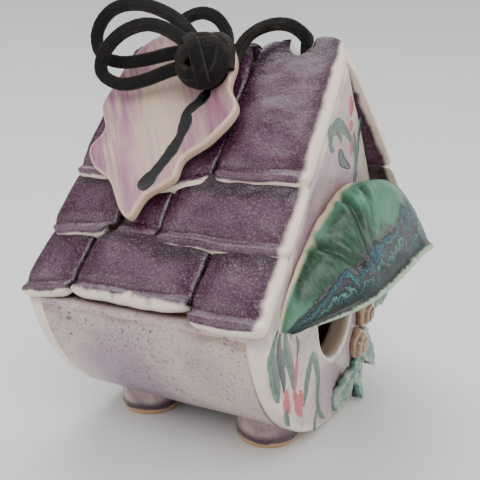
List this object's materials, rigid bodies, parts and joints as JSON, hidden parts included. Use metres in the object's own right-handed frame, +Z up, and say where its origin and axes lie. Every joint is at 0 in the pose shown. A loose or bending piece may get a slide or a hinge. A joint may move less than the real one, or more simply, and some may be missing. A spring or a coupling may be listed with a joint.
{
  "type": "birdhouse",
  "caption": "Small ceramic birdhouse with a shingled gable roof, a hood over a round entrance, a looped leather hanging lace and a swinging tag.",
  "frame": {"origin": "on the floor, in the middle of the footprint of the house with its hood and stopper", "axes": "+Z up, -Y out of the front plate, +X to the right of someone facing the front plate"},
  "size_m": [0.1338, 0.1239, 0.1556],
  "materials": {
    "body_glaze": "satin speckled glaze",
    "roof_glaze": "semi-gloss mottled glaze",
    "foot_glaze": "satin glaze over bare clay",
    "hood_glaze": "glossy marbled glaze",
    "rose_glaze": "satin glaze",
    "leaf_glaze": "satin glaze",
    "stopper_cork": "matte",
    "tag_glaze": "satin glaze",
    "lace_leather": "suede"
  },
  "bodies": {
    "house": {"front_plate": "body_glaze", "back_plate": "body_glaze", "round_body": "body_glaze", "roof_slab_left": "body_glaze", "roof_slab_right": "body_glaze", "shingle_left_top_front": "roof_glaze", "shingle_left_top_middle": "roof_glaze", "shingle_left_top_rear": "roof_glaze", "shingle_left_middle_front": "roof_glaze", "shingle_left_middle_inner": "roof_glaze", "shingle_left_middle_rear": "roof_glaze", "shingle_left_eave_front": "roof_glaze", "shingle_left_eave_middle": "roof_glaze", "shingle_left_eave_rear": "roof_glaze", "shingle_right_top_front": "roof_glaze", "shingle_right_top_middle": "roof_glaze", "shingle_right_top_rear": "roof_glaze", "shingle_right_middle_front": "roof_glaze", "shingle_right_middle_inner": "roof_glaze", "shingle_right_middle_rear": "roof_glaze", "shingle_right_eave_front": "roof_glaze", "shingle_right_eave_middle": "roof_glaze", "shingle_right_eave_rear": "roof_glaze", "foot_front_left": "foot_glaze", "foot_front_right": "foot_glaze", "foot_rear_left": "foot_glaze", "foot_rear_right": "foot_glaze", "hood": "hood_glaze", "rose_upper": "rose_glaze", "rose_middle": "rose_glaze", "rose_lower": "rose_glaze", "leaf_upper": "leaf_glaze", "leaf_outer": "leaf_glaze", "leaf_middle": "leaf_glaze", "leaf_lower": "leaf_glaze", "leaf_tail": "leaf_glaze", "lace_inside": "lace_leather"},
    "stopper": {"stopper": "stopper_cork"},
    "hanger": {"knot": "lace_leather", "lace_front": "lace_leather", "lace_rear": "lace_leather", "loop_outer": "lace_leather", "loop_inner": "lace_leather"},
    "tag": {"tag": "tag_glaze"}
  },
  "joints": [
    {"name": "hanger_swing", "type": "hinge", "parent": "house", "child": "hanger", "pos_m": [0, 0.012, 0.141], "axis": [0, 1, 0], "range_deg": [0, 90]},
    {"name": "tag_swing", "type": "hinge", "parent": "hanger", "child": "tag", "pos_m": [-0.01911, 0.0083, 0.12744], "axis": [-0.8238, 0, 0.5669], "range_deg": [-20, 20]},
    {"name": "stopper_pull", "type": "slide", "parent": "house", "child": "stopper", "axis": [0, 1, 0], "range_m": [0, 0.03]}
  ]
}
